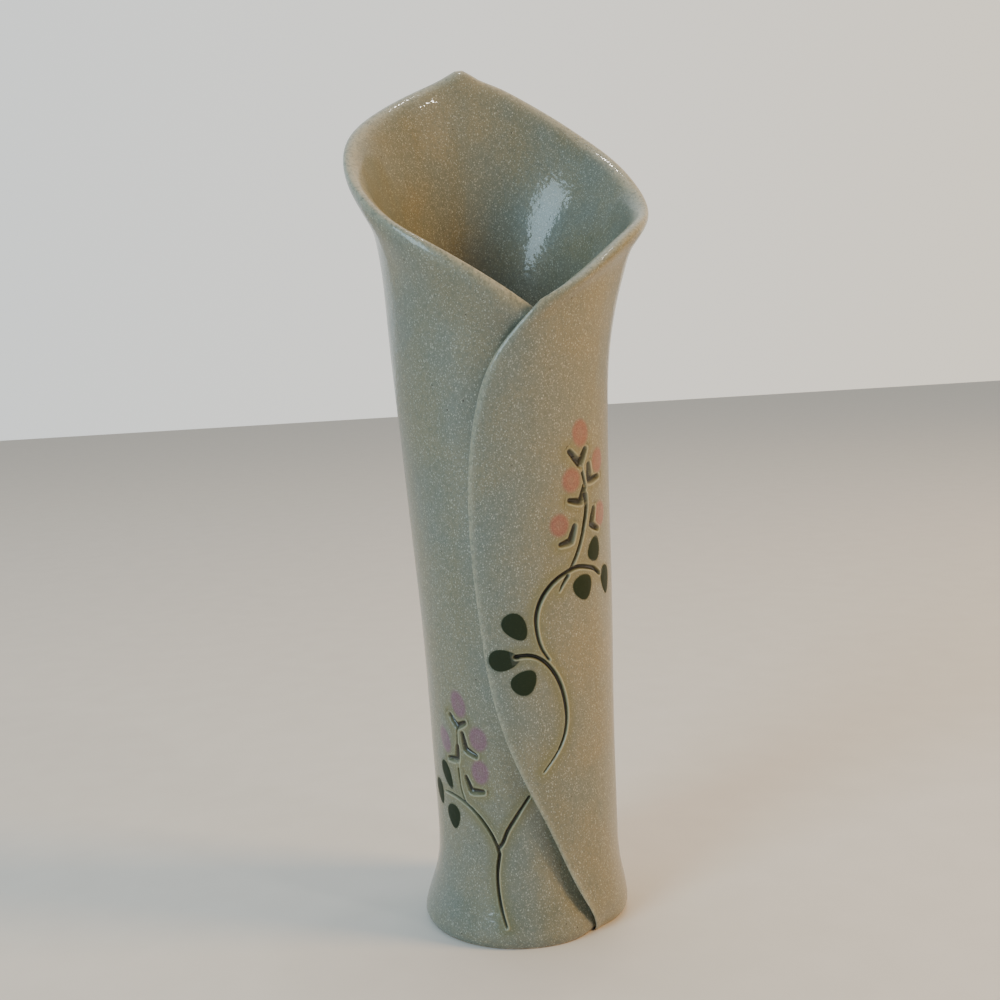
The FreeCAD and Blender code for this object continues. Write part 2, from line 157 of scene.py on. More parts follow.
# Looks that the CAD leaves out
LIP_SWELL = 1.05           # how far the rolled lip stands out
LIP_INWARD = 0.35          # share of that on the inside
LIP_ROLL = 4.2             # how far down its fullest part is
LIP_NECK = 0.3             # hollow under it
LIP_NECK_AT = 13           # how far down that is
LIP_NECK_WIDTH = 5         # and how wide
EDGE_SOFTNESS = 1.9        # width of the worn slope of the lap's edge over its height
EDGE_REACH = 3.4           # and its widest
EDGE_LEAST = 0.9           # and its narrowest
EDGE_POWER = 1.45          # how round that slope is: 1 is a flat bevel, 2 a half circle
EDGE_INSIDE = 0.6          # rounding of the lap's hidden edge
THINNEST = 0.25            # least thickness of the sheet before its edges are rounded
BEAD = 3.4                 # height of the rounding of the lip
BEAD_POWER = 2.2           # how square the lip's rounding is, 2 is a half circle
OVERLAP = 9.0              # how far the under layer's lip runs on behind the lap
BEHIND_FALL = 0.42         # how fast it falls there, mm per degree
CREASE = 0.45              # gap under the lap's edge
CREASE_REACH = 3.0         # how far in that gap closes
LIFT = 0.8                 # how much more that gap opens low on the vase and near the lip
DIP = 1.5                  # hollow beside the lap's edge there
DIP_REACH = 5.0            # and how wide that hollow is
# Where the gap and the hollow show: heights over which each opens and closes low on the vase, its
# share near the lip, and the heights over which that opens
LIFT_BANDS = ((1, 9), (40, 62), 0.4, (115, 150))
DIP_BANDS = ((2, 12), (48, 75), 0.5, (110, 150))
CARVE = 1.05               # depth of a carved line
CURB = 0.20                # height of the ridge the tool pushed up beside it
LIGHT_SIDE = (0.24, -0.17)       # the side of a cut that the light falls on: the ridge's painted highlight lies this way and a calyx mark's painted shadow lies the other way
CALYX_WIDTH = 2.3
CALYX_DEPTH = 0.9          # depth of a calyx mark as a share of CARVE
CALYX_INK_AND_SHADE = {"upper": 0.86, "lower": 0.58}   # share of a calyx mark's width that its dark glaze and painted shadow cover, shifted away from the lit side
INK_EDGE = (-0.34, 0.02)   # the ink of a stem fades over this far from its outline
LIT_SIDE_EDGE = (-0.08, 0.16)   # the ridge and its painted highlight grow from low to full over this change of distance when shifted to the lit side
RIDGE_AT = 0.26            # the ridge's crest lies this far outside the cut
RIDGE_WIDTH = 0.24
HALO = 3.0                 # how far the pooled glaze reaches from a cut
CALYX_TIP = 0.72           # share of the width left at the two ends of a calyx mark
TRENCH = 1.8               # hidden under the patches of the carved marks
TRENCH_REACH = 0.3         # how far it reaches past a line
PATCH_MARGIN = 1.6         # how far a patch reaches past its carved line
PATCH_LIFT = 0.02          # how far a patch lies over the clay
PATCH_STAGGER = 0.0015     # each patch lies this much higher than the one before, so none coincide
OVALS_UNDER = 20           # petals and leaves lie this many of those steps under the lines
PETAL_MARGIN = 0.9         # how far a petal's patch reaches past its outline
LEAF_MARGIN = 0.35
BED = 1.7                  # how deep the lap beds into the under layer
BED_START = 2.0            # from this far behind its edge
BED_END = 9.0              # fully bedded here
PATCH_DEPTH = 1.2          # how deep a patch reaches into the wall
LEAF_DOME = 0.12           # how far a leaf stands out in its middle
PETAL_RAISE = 0.05
LEAF_OUTLINE = (0.95, 1.03)    # a leaf's colour fades between these shares of its outline
PETAL_OUTLINE = (0.68, 1.14)   # a petal's fades softly
FRONT_RADIUS = 29.0        # radius that turns angles into lengths for the marks
ARC = math.radians(1) * FRONT_RADIUS       # length of one degree there

CLAY_STEP = 1.6            # spacing of columns where the marks are, in degrees
CLAY_COARSE = 4.2          # and elsewhere
LINE_STEP = 0.35           # spacing of points along a carved line
END_STEP = 0.3             # and past its ends
ACROSS_STEP = 0.16         # and across it
OVAL_STEP = 0.2            # spacing over a petal or a leaf

STATIONS_END = 1.6         # the tables in shares of the front height stop here
FAR = 99.0                 # a distance that counts as nowhere near

# Unevenness left by hands and the kiln: (size, waves around, shift, mm of height to a radian)
HAND_WAVES = [(0.16, 2, 0.7, 41), (0.11, 3, -1.3, 23), (0.07, 5, 0.4, -17), (0.05, 9, 0.0, 11)]
HAND_START = (2, 12)       # it sets in over these heights above the foot


def smooth(stations):
    """A natural cubic spline through (position, value) stations."""
    x = np.array([s[0] for s in stations], float)
    y = np.array([s[1] for s in stations], float)
    step = np.diff(x)
    count = len(x)
    matrix = np.eye(count)
    right = np.zeros(count)
    for i in range(1, count - 1):
        matrix[i, i - 1:i + 2] = step[i - 1], 2 * (step[i - 1] + step[i]), step[i]
        right[i] = 6 * ((y[i + 1] - y[i]) / step[i] - (y[i] - y[i - 1]) / step[i - 1])
    bend = np.linalg.solve(matrix, right)

    def value(at):
        at = np.clip(at, x[0], x[-1])
        i = np.clip(np.searchsorted(x, at) - 1, 0, count - 2)
        h = step[i]
        a = (x[i + 1] - at) / h
        b = (at - x[i]) / h
        return a * y[i] + b * y[i + 1] + ((a ** 3 - a) * bend[i] + (b ** 3 - b) * bend[i + 1]) * h * h / 6

    return value


rim_share = smooth(RIM)
lap_edge_share = smooth(LAP_EDGE)
inner_edge_share = smooth(INNER_EDGE)
lap_step_share = smooth(LAP_STEP)
lean_share = smooth(LEAN)


def ease(low, high, value):
    """0 below low, 1 above high and a smooth rise between."""
    t = np.clip((value - low) / (high - low), 0, 1)
    return t * t * (3 - 2 * t)


def along(height):
    """A height as a share of the front height, as the tables take it."""
    return np.clip(height / FRONT_HEIGHT, 0, STATIONS_END)


def lap_edge(height):
    """Angle of the lap's edge on the outside."""
    return lap_edge_share(along(height))


def inner_edge(height):
    """Angle of the slab's hidden end, always some way behind the lap's edge."""
    return np.maximum(inner_edge_share(along(height)), lap_edge(height) + OVERLAP)


def rim_height(angle):
    """Height of the mouth's rim all the way round."""
    return FRONT_HEIGHT + (BACK_HEIGHT - FRONT_HEIGHT) * rim_share(np.mod(angle, 360))


def sheet_top(angle):
    """Height of the lip along the sheet: the under layer goes on falling behind the lap."""
    behind = FRONT_HEIGHT - BEHIND_FALL * (angle - 360)
    return np.where(angle > 360, behind, rim_height(angle))


def hand(angle, height):
    """The unevenness left by hands and the kiln, the same for every layer at one place."""
    around = np.radians(angle)
    wave = sum(size * np.sin(waves * around + shift + height / pace)
               for size, waves, shift, pace in HAND_WAVES)
    return wave * ease(*HAND_START, height)


def tube_radius(angle, height):
    """Outside radius of the rolled tube without its lap."""
    radius = WAIST_RADIUS + WIDENING * (height - WAIST_HEIGHT)
    skirt = FOOT_RADIUS - (WAIST_RADIUS - WIDENING * WAIST_HEIGHT)
    radius = radius + skirt * np.exp(-(height / SKIRT_REACH) ** 2)
    radius = radius - FOOT_ROUND_DEPTH * np.clip(1 - height / FOOT_ROUND, 0, 1) ** 2
    aside = np.mod(angle - TUCK_ANGLE + 180, 360) - 180
    radius = radius - TUCK * np.exp(-(aside / TUCK_SPREAD) ** 2 - (height / TUCK_REACH) ** 2)
    lobes = LIP_FLARE_ENDS + (1 - LIP_FLARE_ENDS) * np.sin(np.radians(angle)) ** 2
    depth = rim_height(angle) - height
    turn = np.where(depth < 0, 1 - FLARE_POWER * depth / FLARE_REACH,
                    np.clip(1 - depth / FLARE_REACH, 0, 1) ** FLARE_POWER)
    return radius + LIP_FLARE * lobes * turn + hand(angle, height)


def lap_radius(angle, height):
    """What the lap adds, for an unwrapped angle counted along the sheet."""
    turned = np.clip(angle - lap_edge(height), 0, LAP_FADE)
    return lap_step_share(along(height)) * np.cos(np.radians(90 * turned / LAP_FADE)) ** 2


def banded(height, opens, closes, lip_share, lip_opens):
    """1 low on the vase, lip_share near the lip and 0 between."""
    return ease(*opens, height) * (1 - ease(*closes, height)) + lip_share * ease(*lip_opens, height)


def dip(angle, height):
    """The hollow in the under layer beside the edge of the lap."""
    aside = np.mod(lap_edge(height) - angle, 360) * ARC
    return DIP * banded(height, *DIP_BANDS) * np.exp(-(aside / DIP_REACH) ** 2)


def place(radius, angle, height):
    """Points in metres."""
    turn = np.radians(angle)
    lean = lean_share(along(height))
    side = math.radians(LEAN_ANGLE)
    x = radius * np.sin(turn) + lean * math.sin(side)
    y = -radius * np.cos(turn) - lean * math.cos(side)
    return np.stack([x, y, height + 0 * radius], -1) * MM


# ---- carved lines ------------------------------------------------------------------------------

def flat(anchor, points):
    """Marks as (length around, height) points on the unrolled front."""
    return np.array([(math.radians(anchor[0] + a) * FRONT_RADIUS, anchor[1] * FRONT_HEIGHT + z)
                     for a, z in points])


def course(points):
    """Evenly spaced points along a smooth line through a few, and their share of its length."""
    reach = np.concatenate([[0], np.cumsum(np.hypot(*np.diff(points, axis=0).T))])
    x = smooth(list(zip(reach, points[:, 0])))
    z = smooth(list(zip(reach, points[:, 1])))
    at = np.linspace(0, reach[-1], max(int(reach[-1] / LINE_STEP), 2) + 1)
    return np.stack([x(at), z(at)], -1), at / reach[-1]


class Stroke:
    """A carved line: its name, the points of its centre line and half its width at each."""

    def __init__(self, name, line, half):
        self.name = name
        self.line = line
        self.half = half

    def near(self, spots):
        """Distance of each spot to the centre line, and the half width there."""
        margin = 4
        best = np.full(len(spots), FAR)
        half = np.full(len(spots), 0.5)
        low = self.line.min(0) - margin
        high = self.line.max(0) + margin
        close = np.all((spots > low) & (spots < high), axis=1)
        if not close.any():
            return best, half
        p = spots[close]
        a = self.line[:-1]
        ab = self.line[1:] - a
        t = ((p[:, None] - a) * ab).sum(-1) / (ab ** 2).sum(-1)
        t = np.clip(t, 0, 1)
        d = np.hypot(*np.moveaxis(p[:, None] - a - t[..., None] * ab, -1, 0))
        k = d.argmin(1)
        row = np.arange(len(p))
        best[close] = d[row, k]
        half[close] = self.half[k] + (self.half[k + 1] - self.half[k]) * t[row, k]
        return best, half


def strokes_of(spray, anchor, calyxes, stems):
    """The carved lines of one spray."""
    made = []
    for name, points in calyxes:
        corners = flat(anchor, points)
        first, second = (np.linspace(a, b, 8) for a, b in zip(corners, corners[1:]))
        line = np.concatenate([first, second[1:]])
        belly = np.sin(np.pi * np.linspace(0, 1, len(line)))
        half = CALYX_WIDTH / 2 * (CALYX_TIP + (1 - CALYX_TIP) * belly)
        made.append(Stroke(f"{spray}_calyx_{name}", line, half))
    for name, width, tip_width, points in stems:
        line, share = course(flat(anchor, points))
        made.append(Stroke(f"{spray}_stem_{name}", line, (width + (tip_width - width) * share ** 2) / 2))
    return made


STROKES = strokes_of("upper", UPPER_ANCHOR, UPPER_CALYXES, UPPER_STEMS)
STROKES += strokes_of("lower", LOWER_ANCHOR, LOWER_CALYXES, LOWER_STEMS)


def oval(anchor, angle, height, along_half, across_half, turn, taper):
    """A petal or a leaf: its centre, its two axes, half its size along each, and its taper."""
    centre = flat(anchor, [(angle, height)])[0]
    tip = math.radians(turn)
    axes = np.array([[math.cos(tip), math.sin(tip)], [-math.sin(tip), math.cos(tip)]])
    return {"centre": centre, "axes": axes, "halves": (along_half, across_half), "taper": taper}


def petals_of(spray, anchor, petals):
    """The petals of one spray: half sizes, the long axis near upright."""
    return {f"{spray}_petal_{name}": oval(anchor, angle, height, half_height, half_width, 90 + turn, 0.0)
            for name, angle, height, half_width, half_height, turn in petals}


def leaves_of(spray, anchor, leaves):
    """The leaves of one spray: full sizes, narrower towards the tip."""
    return {f"{spray}_leaf_{name}": oval(anchor, angle, height, length / 2, width / 2, tip, LEAF_TAPER)
            for name, angle, height, length, width, tip in leaves}


PETALS = petals_of("upper", UPPER_ANCHOR, UPPER_PETALS) | petals_of("lower", LOWER_ANCHOR, LOWER_PETALS)
LEAVES = leaves_of("upper", UPPER_ANCHOR, UPPER_LEAVES) | leaves_of("lower", LOWER_ANCHOR, LOWER_LEAVES)


def narrowing(shape, along_share):
    """How wide a tapered oval is at a share of its half length."""
    return np.clip(1 - shape["taper"] * along_share, 0.5, 1.5)


def reach_of(shape, spots):
    """How far out each spot is in an oval: 0 in the middle, 1 on its outline."""
    a, b = ((spots - shape["centre"]) @ shape["axes"].T).T
    a = a / shape["halves"][0]
    b = b / shape["halves"][1] / narrowing(shape, a)
    return np.hypot(a, b)


def marks_at(spots, spray):
    """Everything one spray's marks do to the surface at flat spots: height and the paint layers."""
    carve = np.zeros(len(spots))
    ink = np.zeros(len(spots))
    edge = np.full(len(spots), FAR)
    lit_side = np.zeros(len(spots))
    for stroke in STROKES:
        if not stroke.name.startswith(spray):
            continue
        d, half = stroke.near(spots)
        # distance of each spot shifted towards the lit side, for the painted highlight and the painted
        # shadow
        distance_toward_light = stroke.near(spots + np.array(LIGHT_SIDE))[0]
        if "calyx" in stroke.name:
            carve = np.maximum(carve, CALYX_DEPTH * np.clip(1 - (d / half) ** 1.6, 0, 1))
            # dark glaze in the calyx mark with painted shadow: the dark is shifted to the side away from
            # the light
            covered = CALYX_INK_AND_SHADE[spray] * half
            ink = np.maximum(ink, 0.96 * np.exp(-(distance_toward_light / covered) ** 4) * (d < half))
        else:
            depth = np.clip(half / 0.6, 0.4, 1)
            carve = np.maximum(carve, np.sqrt(np.clip(1 - (d / half) ** 2, 0, 1)) * depth)
            ink = np.maximum(ink, 1 - ease(*INK_EDGE, d - half))
        # the lit side of the nearest cut, where the ridge gets its painted highlight
        lit_side = np.where(d - half < edge, ease(*LIT_SIDE_EDGE, distance_toward_light - d), lit_side)
        edge = np.minimum(edge, d - half)
    # pale raised ridge beside a cut, also its height: real glaze breaking pale over it, plus a painted
    # highlight that makes it four times stronger on the lit side
    ridge = np.exp(-((edge - RIDGE_AT) / RIDGE_WIDTH) ** 2) * (1 - carve) * (0.25 + 0.75 * lit_side)
    leaf = np.zeros(len(spots))
    dome = np.zeros(len(spots))
    pink = np.zeros(len(spots))
    for shape in [shape for name, shape in LEAVES.items() if name.startswith(spray)]:
        r = reach_of(shape, spots)
        leaf = np.maximum(leaf, 1 - ease(*LEAF_OUTLINE, r))
        dome = np.maximum(dome, np.clip(1 - r ** 4, 0, 1))
    for shape in [shape for name, shape in PETALS.items() if name.startswith(spray)]:
        r = reach_of(shape, spots)
        paler_middle = 1 - 0.18 * np.exp(-(r / 0.4) ** 2)
        pink = np.maximum(pink, (1 - ease(*PETAL_OUTLINE, r)) * paler_middle)
    height = CURB * ridge - CARVE * carve + LEAF_DOME * dome + PETAL_RAISE * pink
    return {"height": height, "edge": edge, "ink": ink, "ridge": ridge,
            "halo": np.exp(-(np.clip(edge, 0, 9) / HALO) ** 2), "leaf": leaf, "pink": pink}


# the ridge layer and the lip layer also carry painted highlight, and the ink layer carries painted
# shadow, besides their colour
PAINTS = ("ink", "ridge", "halo", "leaf", "pink", "lip")


# ---- meshes ------------------------------------------------------------------------------------

def link(name, data):
    """A new object in the scene."""
    obj = bpy.data.objects.new(name, data)
    bpy.context.scene.collection.objects.link(obj)
    return obj


def grid_faces(rows, columns, start=0, flip=False):
    """The quads of a grid of points."""
    i = np.arange(rows - 1)[:, None] * columns + np.arange(columns - 1)[None] + start
    quads = np.stack([i, i + 1, i + columns + 1, i + columns], -1).reshape(-1, 4)
    return quads[:, ::-1] if flip else quads


def make_mesh(name, points, quads, paints, triangles=()):
    """An object of quads and a few triangles, with one painted layer for each name in paints."""
    triangles = np.array(triangles, int).reshape(-1, 3)
    corners = np.concatenate([quads.ravel(), triangles.ravel()])
    starts = np.concatenate([np.arange(len(quads)) * 4, np.arange(len(triangles)) * 3 + len(quads) * 4])
    mesh = bpy.data.meshes.new(name)
    mesh.vertices.add(len(points))
    mesh.vertices.foreach_set("co", points.astype(np.float32).ravel())
    mesh.loops.add(len(corners))
    mesh.loops.foreach_set("vertex_index", corners.astype(np.int32))
    mesh.polygons.add(len(starts))
    mesh.polygons.foreach_set("loop_start", starts.astype(np.int32))
    mesh.update(calc_edges=True)
    mesh.validate()
    mesh.polygons.foreach_set("use_smooth", np.ones(len(mesh.polygons), bool))
    mesh.set_sharp_from_angle(angle=math.radians(80))
    for paint, values in paints.items():
        layer = mesh.attributes.new(paint, "FLOAT", "POINT")
        layer.data.foreach_set("value", np.asarray(values, np.float32))
    return link(name, mesh)


def stations(parts):
    """Rising stations from (start, end, count) runs."""
    runs = [np.linspace(a, b, n, endpoint=False) for a, b, n in parts]
    return np.concatenate(runs + [[parts[-1][1]]])


def round_over(distance, reach, power=BEAD_POWER):
    """Share of the thickness left at a distance from a rounded edge."""
    t = np.clip(1 - distance / np.maximum(reach, 1e-6), 0, 1)
    return np.clip(1 - t ** power, 0, 1) ** (1 / power)


# Distances of the first columns from the sheet's end, and of the rows from its lip
EDGE_STEPS = [0, 0.07, 0.2, 0.4, 0.65, 0.95, 1.35, 1.9, 2.6]
LIP_STEPS = [0, 0.05, 0.17, 0.37, 0.65, 1.0, 1.4, 1.85, 2.4, 3.2, 4.3, 5.7, 7.4, 9.4, 11.8, 14.6, 18.0]
DECORATED = 100.0          # degrees of sheet beside the lap's edge that carry the upper spray
FAR_END = 0.655            # share of the sheet where the fine columns of the lower spray begin
SHEET_ANGLE = 410.0        # degrees of sheet from end to end, for the spacing of columns
SHEET_TURNS = 1.15         # its length in turns, likewise
UNDER_LAYER = 300          # from this angle of the sheet on it is the under layer
UPPER_MARKS_END = 200      # up to this one it carries the upper spray
LIP_LIMITS = (90.0, 275.0)     # the lip lies between these heights everywhere
LIP_HALVINGS = 40          # steps in finding its height
# Rows below the lip: shares of the height under the lowest lip row, and how many
ROW_RUNS = [(0, 0.01, 4), (0.01, 0.03, 4), (0.03, 0.86, 158), (0.86, 1, 10)]


def sheet_columns():
    """Where the columns lie, as shares of the sheet: close together at its ends and under marks."""
    around = 2 * math.pi * FRONT_RADIUS * SHEET_TURNS
    fine = CLAY_STEP / SHEET_ANGLE
    coarse = CLAY_COARSE / SHEET_ANGLE
    first = [step / around for step in EDGE_STEPS]
    start = first[-1]
    near = DECORATED / SHEET_ANGLE
    runs = stations([(start, near, int((near - start) / fine)),
                     (near, FAR_END, int((FAR_END - near) / coarse)),
                     (FAR_END, 1 - first[-1], int((1 - first[-1] - FAR_END) / fine))])
    last = [1 - step / around for step in EDGE_STEPS[-2::-1]]
    return np.array(first[:-1] + list(runs) + last)


def sheet_angle(share, height):
    """Angle along the sheet at a share of its length, from the lap's edge to the hidden end."""
    return lap_edge(height) * (1 - share) + (360 + inner_edge(height)) * share


def lip_heights(share):
    """Height of the lip in each column, found by halving."""
    low = np.full(len(share), LIP_LIMITS[0])
    high = np.full(len(share), LIP_LIMITS[1])
    for _ in range(LIP_HALVINGS):
        middle = (low + high) / 2
        above = middle > sheet_top(sheet_angle(share, middle))
        high = np.where(above, middle, high)
        low = np.where(above, low, middle)
    return (low + high) / 2


def sheet_faces(angle, heights, from_edge):
    """Radius of the sheet's outer and inner face, before its edges are rounded."""
    tube = tube_radius(angle, heights)
    outer = tube + lap_radius(angle, heights)
    beneath = angle - 360 - lap_edge(heights)
    hollow = dip(np.where(beneath > 0, lap_edge(heights), angle), heights)
    sunk = hollow + BED * ease(BED_START, BED_END, beneath * ARC)
    outer = outer - np.where(angle > UNDER_LAYER, sunk, 0)
    opened = CREASE + LIFT * banded(heights, *LIFT_BANDS)
    gap = opened * (1 - ease(0, CREASE_REACH, from_edge)) + 0.02
    lapped = inner_edge(heights)
    under_lap = 1 - ease(lapped - 4, lapped, angle)
    bed = tube - BED * ease(BED_START, BED_END, from_edge)
    plain = tube + lap_radius(angle, heights) - SLAB
    inner = plain * (1 - under_lap) + (bed + gap) * under_lap
    return outer, np.minimum(inner, outer - THINNEST)


def marks_on_sheet(angle, heights):
    """What both sprays do to the sheet: the upper one on the lap, the lower one on the rest."""
    spots = np.stack([(np.mod(angle + 180, 360) - 180) * ARC, heights], -1).reshape(-1, 2)
    upper = marks_at(spots, "upper")
    lower = marks_at(spots, "lower")
    on_lap = angle.ravel() < UPPER_MARKS_END
    return {key: np.where(on_lap, upper[key], lower[key]) for key in upper}


def make_wall():
    """The whole rolled sheet as one closed mesh, its two faces joined round all four edges."""
    share = sheet_columns()
    top = lip_heights(share)
    under = top - LIP_STEPS[-1]
    lower_rows = stations(ROW_RUNS)[:, None] * under
    heights = np.concatenate([lower_rows, top - np.array(LIP_STEPS[-2::-1])[:, None]])
    angle = sheet_angle(np.broadcast_to(share, heights.shape), heights)
    rows, columns = heights.shape
    from_edge = (angle - lap_edge(heights)) * ARC
    from_end = (360 + inner_edge(heights) - angle) * ARC
    from_lip = top - heights
    outer, inner = sheet_faces(angle, heights, from_edge)
    roll = LIP_SWELL * np.exp(-((from_lip - LIP_ROLL) / LIP_ROLL) ** 2)
    neck = LIP_NECK * np.exp(-((from_lip - LIP_NECK_AT) / LIP_NECK_WIDTH) ** 2)
    swell = (roll - neck) * ease(-2, 6, from_edge)
    middle = (outer + inner) / 2 + swell * (1 - LIP_INWARD) / 2
    half = (outer - inner) / 2 + swell * (1 + LIP_INWARD) / 2
    soft = np.clip(half * EDGE_SOFTNESS, EDGE_LEAST, EDGE_REACH)
    rounded = round_over(from_lip, BEAD) * round_over(from_end, SLAB / 2)
    rounded_out = rounded * round_over(from_edge, soft, EDGE_POWER)
    rounded_in = rounded * round_over(from_edge, EDGE_INSIDE)
    marks = marks_on_sheet(angle, heights)
    seen = (angle < 360 + lap_edge(heights)).ravel()
    sink = np.where(seen & (marks["edge"] < TRENCH_REACH), TRENCH, 0).reshape(rows, columns)
    outer_points = place(middle + half * rounded_out - sink, angle, heights).reshape(-1, 3)
    inner_points = place(middle - half * rounded_in, angle, heights).reshape(-1, 3)
    count = rows * columns
    twin = np.arange(count).reshape(rows, columns) + count
    index = np.arange(count).reshape(rows, columns)
    for line in (np.s_[-1, :], np.s_[:, 0], np.s_[:, -1]):
        twin[line] = index[line]
    outer_quads = grid_faces(rows, columns)
    inner_quads = twin.reshape(-1)[grid_faces(rows, columns, flip=True)]
    base = np.stack([index[0, 2:-1], index[0, 1:-2], twin[0, 1:-2], twin[0, 2:-1]], -1)
    base_ends = [(index[0, 1], index[0, 0], twin[0, 1]), (index[0, -1], index[0, -2], twin[0, -2])]
    quads = np.concatenate([outer_quads, inner_quads, base])
    points = np.concatenate([outer_points, inner_points])
    used = np.zeros(len(points), bool)
    used[quads.ravel()] = True
    renumber = np.cumsum(used) - 1
    # pale tan glaze breaking over the lip; along the lap's edge the same pale tint is a painted highlight
    lip = np.exp(-(from_lip / 1.9) ** 2)
    lip = np.maximum(lip, 0.9 * np.exp(-(from_edge / 1.3) ** 2)).ravel()
    blank = np.zeros(count)
    paints = {paint: np.zeros(used.sum()) for paint in PAINTS}
    paints["halo"] = np.concatenate([np.where(seen, marks["halo"], 0), blank])[used]
    paints["lip"] = np.concatenate([lip, lip])[used]
    base_ends = renumber[np.array(base_ends)]
    return make_mesh("rolled_wall", points[used], renumber[quads], paints, base_ends)


def make_patch(name, spots, rows, columns, lift):
    """A closed thin patch on the outside over a grid of flat spots."""
    angle = spots[:, 0] / ARC
    height = spots[:, 1]
    marks = marks_at(spots, name.split("_")[0])
    edge = lap_edge(height)
    radius = tube_radius(angle, height)
    if name.startswith("upper"):
        radius = radius + lap_radius(np.maximum(angle, edge), height)
    else:
        radius = radius - dip(np.where(angle >= edge, edge, angle), height)
    face = place(radius + lift + marks["height"], angle, height)
    back = place(radius - PATCH_DEPTH + np.minimum(marks["height"], 0), angle, height)
    count = rows * columns
    index = np.arange(count).reshape(rows, columns)
    quads = [grid_faces(rows, columns), grid_faces(rows, columns, start=count, flip=True)]
    rim = np.concatenate([index[0, :], index[1:, -1], index[-1, -2::-1], index[-2:0:-1, 0]])
    ahead = np.roll(rim, -1)
    quads.append(np.stack([ahead, rim, rim + count, ahead + count], -1))
    paints = {paint: np.zeros(2 * count) for paint in PAINTS}
    for paint in PAINTS[:-1]:
        paints[paint] = np.tile(marks[paint], 2)
    return make_mesh(name, np.concatenate([face, back]), np.concatenate(quads), paints)


def strip(stroke):
    """Grid of spots along a carved line and a little past it."""
    line = stroke.line
    tangent = np.gradient(line, axis=0)
    tangent /= np.hypot(*tangent.T)[:, None]
    past = np.arange(1, int(PATCH_MARGIN / END_STEP) + 1)[:, None] * END_STEP
    line = np.concatenate([line[:1] - past[::-1] * tangent[:1], line, line[-1:] + past * tangent[-1:]])
    tangent = np.gradient(line, axis=0)
    tangent /= np.hypot(*tangent.T)[:, None]
    normal = np.stack([-tangent[:, 1], tangent[:, 0]], -1)
    width = stroke.half.max() + PATCH_MARGIN
    across = np.arange(-1, 1.001, 2 / int(2 * width / ACROSS_STEP)) * width
    spots = line[:, None] - across[None, :, None] * normal[:, None]
    return spots.reshape(-1, 2), len(line), len(across)


def disc(shape, margin):
    """Grid of spots over an oval, a square squeezed into its outline."""
    count = int(2 * max(shape["halves"]) / OVAL_STEP)
    u, v = np.meshgrid(np.linspace(-1, 1, count), np.linspace(-1, 1, count))
    grow = 1 + margin / min(shape["halves"])
    a = grow * u * np.sqrt(1 - v ** 2 / 2)
    b = grow * v * np.sqrt(1 - u ** 2 / 2) * narrowing(shape, a)
    local = np.stack([a * shape["halves"][0], b * shape["halves"][1]], -1).reshape(-1, 2)
    return local @ shape["axes"] + shape["centre"], count, count


# ---- materials ---------------------------------------------------------------------------------

class Nodes:
    """A short way to wire shader nodes."""

    def __init__(self, name):
        self.material = bpy.data.materials.new(name)
        self.material.use_nodes = True
        self.tree = self.material.node_tree
        self.tree.nodes.clear()
        self.x = 0

    def add(self, kind, **values):
        """A new node with its properties set."""
        node = self.tree.nodes.new(kind)
        self.x += 180
        node.location = (self.x, 0)
        for key, value in values.items():
            setattr(node, key, value)
        return node

    def set(self, node, socket, value):
        """A link into a socket, or a constant on it."""
        target = node.inputs[socket]
        if isinstance(value, bpy.types.NodeSocket):
            self.tree.links.new(value, target)
        elif value is not None:
            target.default_value = value

    def math(self, operation, a, b=None, c=None, clamp=False):
        node = self.add("ShaderNodeMath", operation=operation, use_clamp=clamp)
        for socket, value in enumerate((a, b, c)):
            self.set(node, socket, value)
        return node.outputs[0]

    def mix(self, factor, a, b):
        node = self.add("ShaderNodeMix", data_type="RGBA")
        self.set(node, 0, factor)
        self.set(node, 6, a)
        self.set(node, 7, b)
        return node.outputs[2]

    def tint(self, body, mask, share, colour):
        """body with a share of a colour where the mask is."""
        return self.mix(self.math("MULTIPLY", mask, share), body, colour)

    def ramp(self, value, low, high):
        """0 at low, 1 at high and a smooth change between, whichever is greater."""
        node = self.add("ShaderNodeMapRange", interpolation_type="SMOOTHSTEP")
        self.set(node, 0, value)
        self.set(node, 1, low)
        self.set(node, 2, high)
        return node.outputs[0]

    def noise(self, vector, size_mm, detail=3.0, roughness=0.5):
        node = self.add("ShaderNodeTexNoise")
        self.set(node, "Vector", vector)
        self.set(node, "Scale", 1 / (size_mm * MM))
        self.set(node, "Detail", detail)
        self.set(node, "Roughness", roughness)
        return node.outputs[0]

    def specks(self, vector, spacing_mm, smallest, largest, share):
        """Round specks of mixed sizes, one to a cell and only in a share of the cells."""
        node = self.add("ShaderNodeTexVoronoi")
        self.set(node, "Vector", vector)
        self.set(node, "Scale", 1 / (spacing_mm * MM))
        apart = self.add("ShaderNodeSeparateColor")
        self.set(apart, 0, node.outputs["Color"])
        kept = self.math("LESS_THAN", apart.outputs[0], share)
        size = self.math("MULTIPLY_ADD", apart.outputs[1], largest - smallest, smallest)
        ratio = self.math("DIVIDE", node.outputs["Distance"], size)
        return self.math("MULTIPLY", self.ramp(ratio, 1.0, 0.45), kept)

    def paint(self, name):
        """A painted layer of the mesh."""
        return self.add("ShaderNodeAttribute", attribute_name=name).outputs["Fac"]


